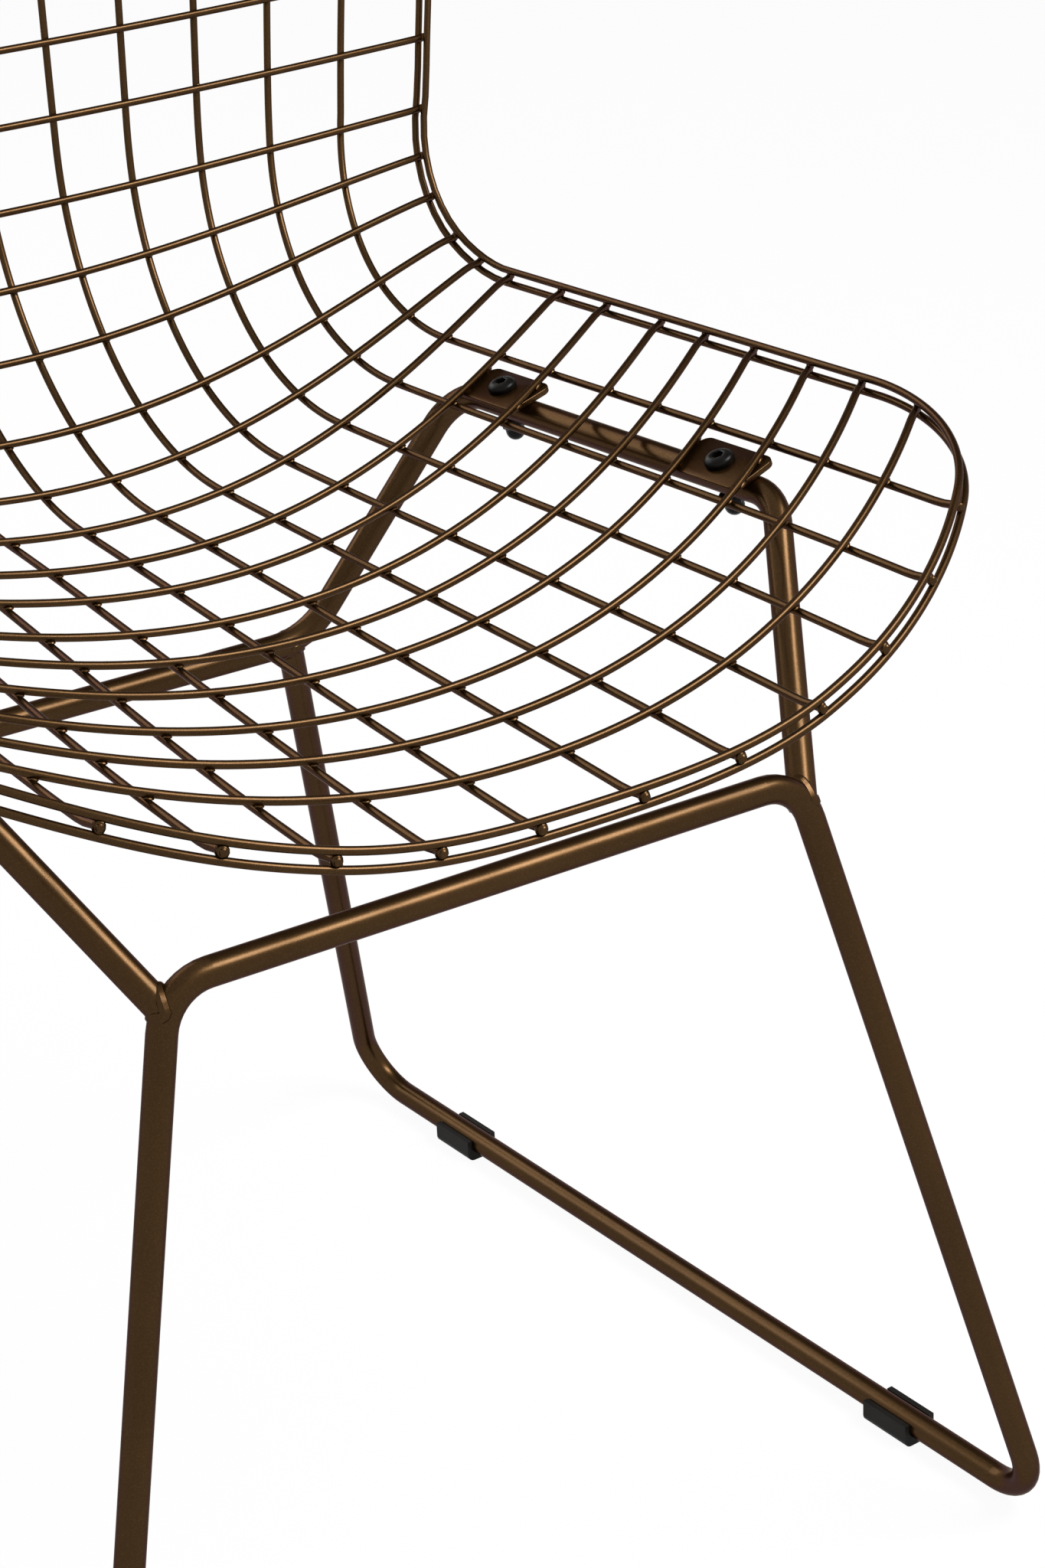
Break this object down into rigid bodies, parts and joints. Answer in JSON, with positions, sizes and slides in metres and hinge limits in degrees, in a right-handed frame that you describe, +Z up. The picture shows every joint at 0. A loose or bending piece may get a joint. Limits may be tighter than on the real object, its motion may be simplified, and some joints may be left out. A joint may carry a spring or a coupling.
{
  "type": "wire mesh chair",
  "caption": "Side chair with a welded wire mesh shell, seat and back in one, double rim wires and a bent rod sled base on clip-on feet",
  "frame": {"origin": "on the floor, under the middle of the chair's outline", "axes": "+X to the right seen from the front, -Y to the front, +Z up"},
  "size_m": [0.5912, 0.5947, 0.7682],
  "materials": {
    "bronze_paint": "satin metallic bronze-brown paint over welded steel",
    "black_steel": "black finished steel, semi-gloss",
    "black_plastic": "black moulded plastic, satin"
  },
  "bodies": {
    "root": {"long_wire_01": "bronze_paint", "long_wire_02": "bronze_paint", "long_wire_03": "bronze_paint", "long_wire_04": "bronze_paint", "long_wire_05": "bronze_paint", "long_wire_06": "bronze_paint", "long_wire_07": "bronze_paint", "long_wire_08": "bronze_paint", "long_wire_09": "bronze_paint", "long_wire_10": "bronze_paint", "long_wire_11": "bronze_paint", "long_wire_12": "bronze_paint", "cross_wire_01": "bronze_paint", "cross_wire_02": "bronze_paint", "cross_wire_03": "bronze_paint", "cross_wire_04": "bronze_paint", "cross_wire_05": "bronze_paint", "cross_wire_06": "bronze_paint", "cross_wire_07": "bronze_paint", "cross_wire_08": "bronze_paint", "cross_wire_09": "bronze_paint", "cross_wire_10": "bronze_paint", "cross_wire_11": "bronze_paint", "cross_wire_12": "bronze_paint", "cross_wire_13": "bronze_paint", "cross_wire_14": "bronze_paint", "cross_wire_15": "bronze_paint", "cross_wire_16": "bronze_paint", "cross_wire_17": "bronze_paint", "cross_wire_18": "bronze_paint", "rim_wire_upper": "bronze_paint", "rim_wire_lower": "bronze_paint", "sled_rod": "bronze_paint", "seat_frame_rod": "bronze_paint", "bracket_front_left": "bronze_paint", "bracket_front_right": "bronze_paint", "bracket_rear_left": "bronze_paint", "bracket_rear_right": "bronze_paint", "rail_screws": "black_steel", "rail_nuts": "black_steel", "foot_front_left": "black_plastic", "foot_front_right": "black_plastic", "foot_rear_left": "black_plastic", "foot_rear_right": "black_plastic"}
  },
  "joints": []
}
